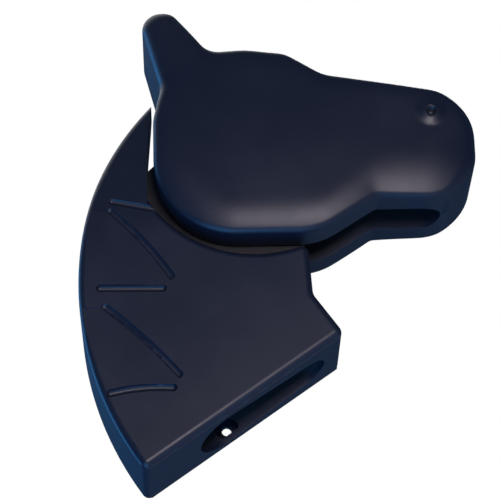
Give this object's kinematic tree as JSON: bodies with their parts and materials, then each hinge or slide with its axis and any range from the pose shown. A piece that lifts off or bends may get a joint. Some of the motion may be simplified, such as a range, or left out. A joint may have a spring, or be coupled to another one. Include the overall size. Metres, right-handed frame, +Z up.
{
  "type": "horse head figure",
  "caption": "Hollow moulded horse head on a neck for a children's ride; the forked head nods on a rubber bush and the neck slips onto a keyed post.",
  "frame": {"origin": "middle of the neck's base face, on the plane that splits the two halves", "axes": "+Z up along the post socket, +X forward to the muzzle, +Y to the far side (the side with the screws)"},
  "size_m": [0.3363, 0.084, 0.2772],
  "materials": {
    "shell": "satin",
    "inner_nylon": "matt",
    "board": "matt",
    "steel": "zinc plated",
    "brass": "turned",
    "rubber": "matt"
  },
  "bodies": {
    "neck": {"neck_shell_near": "shell", "neck_shell_far": "shell", "neck_end_cap": "shell", "socket_liner": "inner_nylon", "neck_tongue": "board", "bush_outer_sleeve": "steel", "neck_screws": "steel", "neck_inserts": "brass", "bush_rubber": "rubber", "post_seat_pad": "rubber"},
    "head": {"head_shell_near": "shell", "head_shell_far": "shell", "pivot_cap": "shell", "fork_plate_near": "inner_nylon", "fork_plate_far": "inner_nylon", "fork_bridge": "inner_nylon", "fork_screws": "steel", "pivot_bolt": "steel", "pivot_nut": "steel", "pivot_washers": "steel", "bush_inner_sleeve": "steel", "stop_pin": "steel", "head_screws": "steel", "head_inserts": "brass", "stop_buffer": "rubber"}
  },
  "joints": [
    {"name": "head_nod", "type": "hinge", "parent": "neck", "child": "head", "pos_m": [0.1234, 0, 0.1507], "axis": [0, 1, 0], "range_deg": [0, 14], "stiffness_Nm_per_rad": 4, "springref_deg": -12.89}
  ]
}
